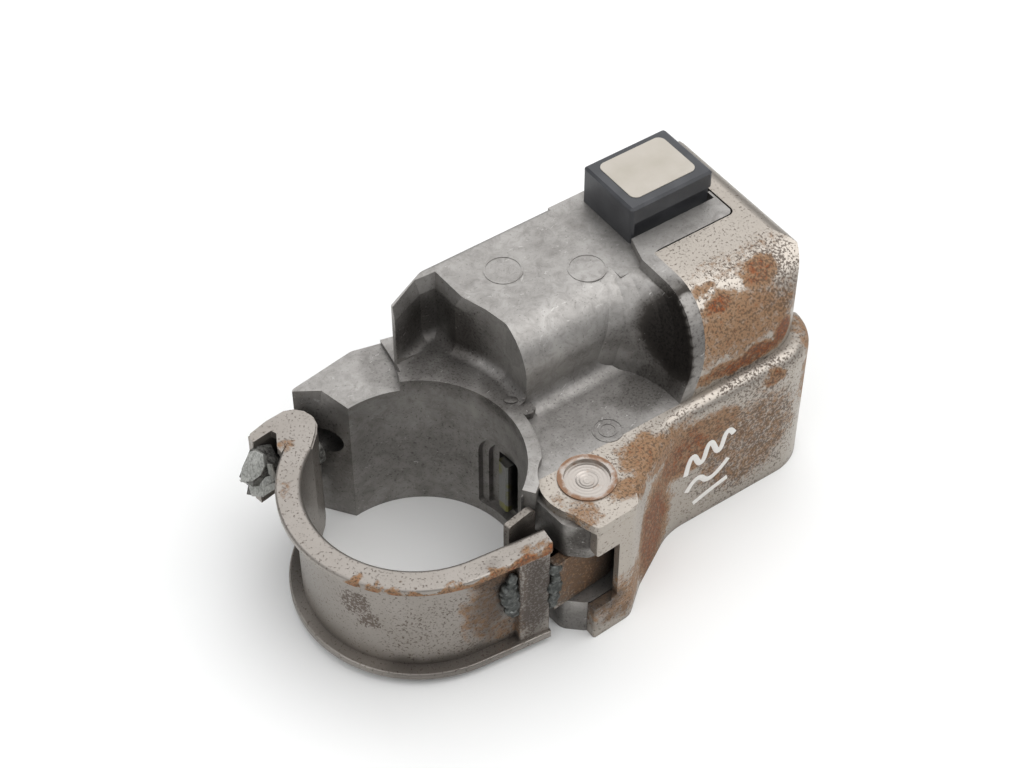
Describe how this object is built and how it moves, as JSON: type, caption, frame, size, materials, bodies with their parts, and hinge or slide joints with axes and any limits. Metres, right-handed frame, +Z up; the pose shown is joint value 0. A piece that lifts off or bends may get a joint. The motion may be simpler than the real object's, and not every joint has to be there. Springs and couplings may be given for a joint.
{
  "type": "steering lock",
  "caption": "Electric steering column lock: a die-cast housing with a sheet cover, a hinged clamp band round the column and a motor-driven lock bolt.",
  "frame": {"origin": "on the steering column's axis, at the underside that the lock stands on", "axes": "+Z up along the column's axis, +X from the column along the housing to its covered end, +Y to the side that the connector opens to"},
  "size_m": [0.1134, 0.0653, 0.0591],
  "materials": {
    "die_casting": "as-cast, bead blasted, lightly soiled",
    "cover_plate": "zinc plated, worn, with brown rust and dark pits",
    "band_steel": "plated sheet steel with rust on its edges",
    "weld": "blue-grey weld metal",
    "bolt_steel": "dark torn steel",
    "pin_steel": "upset steel rivet",
    "hard_steel": "ground, greased",
    "gear_plastic": "moulded acetal",
    "motor_steel": "deep-drawn, zinc plated",
    "winding": "enamelled copper wire",
    "ferrite": "sintered",
    "bronze": "sintered bronze",
    "connector_plastic": "moulded black",
    "contact_metal": "tin plated",
    "label": "aged cream film, bare",
    "board": "green solder mask",
    "sensor_plastic": "moulded black"
  },
  "bodies": {
    "housing": {"main_housing": "die_casting", "cover": "cover_plate", "cover_pins": "pin_steel", "hinge_pin": "pin_steel", "motor_can": "motor_steel", "motor_end_cap": "gear_plastic", "field_magnets": "ferrite", "shaft_bush": "bronze", "wheel_axle": "hard_steel", "retaining_clip": "hard_steel", "connector_housing": "connector_plastic", "connector_contacts": "contact_metal", "connector_label": "label", "circuit_board": "board", "position_sensors": "sensor_plastic"},
    "band": {"clamp_band": "band_steel", "joint_plate": "band_steel", "hinge_strap": "band_steel", "weld_beads": "weld", "shear_bolt": "bolt_steel"},
    "bolt": {"lock_bolt": "hard_steel", "bolt_slider": "gear_plastic", "bolt_spring": "hard_steel"},
    "wheel": {"worm_wheel": "gear_plastic"},
    "armature": {"worm": "hard_steel", "motor_shaft": "hard_steel", "rotor": "winding"}
  },
  "joints": [
    {"name": "band_hinge", "type": "hinge", "parent": "housing", "child": "band", "pos_m": [0.0247, -0.0206, 0.016], "axis": [0, 0, 1], "range_deg": [0, 44]},
    {"name": "worm_spin", "type": "hinge", "parent": "housing", "child": "armature", "pos_m": [0.0572, 0.0152, 0.0394], "axis": [1, 0, 0], "range_deg": [-3060, 0]},
    {"name": "wheel_spin", "type": "hinge", "parent": "housing", "child": "wheel", "pos_m": [0.0717, 0.0015, 0.0394], "axis": [0, 0, 1], "range_deg": [0, 90.1]},
    {"name": "lock_bolt_slide", "type": "slide", "parent": "housing", "child": "bolt", "axis": [-1, 0, 0], "range_m": [0, 0.0077]}
  ],
  "couplings": [
    {"joint": "wheel_spin", "follows": "worm_spin", "ratio": -0.029412},
    {"joint": "lock_bolt_slide", "follows": "worm_spin", "m_per_rad": -0.00014412}
  ]
}
